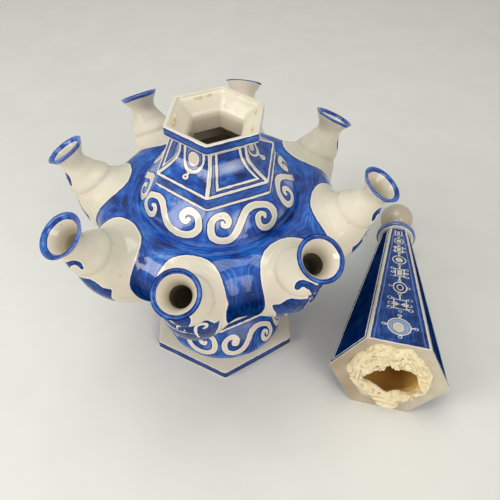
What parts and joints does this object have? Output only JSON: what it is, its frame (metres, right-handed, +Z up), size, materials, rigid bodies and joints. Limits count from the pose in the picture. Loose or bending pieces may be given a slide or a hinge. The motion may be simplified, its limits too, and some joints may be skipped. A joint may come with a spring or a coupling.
{
  "type": "tulipiere flower vase",
  "caption": "Six-sided faience flower vase with a ring of upturned stem spouts, a waisted neck and a lift-off spire that lies beside it.",
  "frame": {"origin": "on the table under the axis of the vase, at the middle of the foot opening", "axes": "+Z up along the axis of the vase, -Y to the front corner, +X towards the lying spire"},
  "size_m": [0.3432, 0.2944, 0.2431],
  "materials": {
    "white_glaze": "glossy cream glaze",
    "cobalt_glaze": "glossy cobalt brushwork under glaze",
    "plaster": "matt, broken"
  },
  "bodies": {
    "vase": {"plinth": "white_glaze", "foot_dome": "cobalt_glaze", "waist": "cobalt_glaze", "body": "cobalt_glaze", "shoulder_dome": "cobalt_glaze", "neck": "cobalt_glaze", "neck_collar": "white_glaze", "neck_plaster": "plaster", "spout_1": "white_glaze", "spout_2": "white_glaze", "spout_3": "white_glaze", "spout_4": "white_glaze", "spout_5": "white_glaze", "spout_6": "white_glaze", "spout_7": "white_glaze", "spout_8": "white_glaze"},
    "spire": {"spire_shaft": "cobalt_glaze", "spire_base": "white_glaze", "spire_collar": "cobalt_glaze", "ball_finial": "white_glaze", "plaster_bed": "plaster"}
  },
  "joints": [
    {"name": "spire_lift", "type": "slide", "parent": "vase", "child": "spire", "axis": [0.5, 0, 0.866], "range_m": [0, 0.25]}
  ]
}
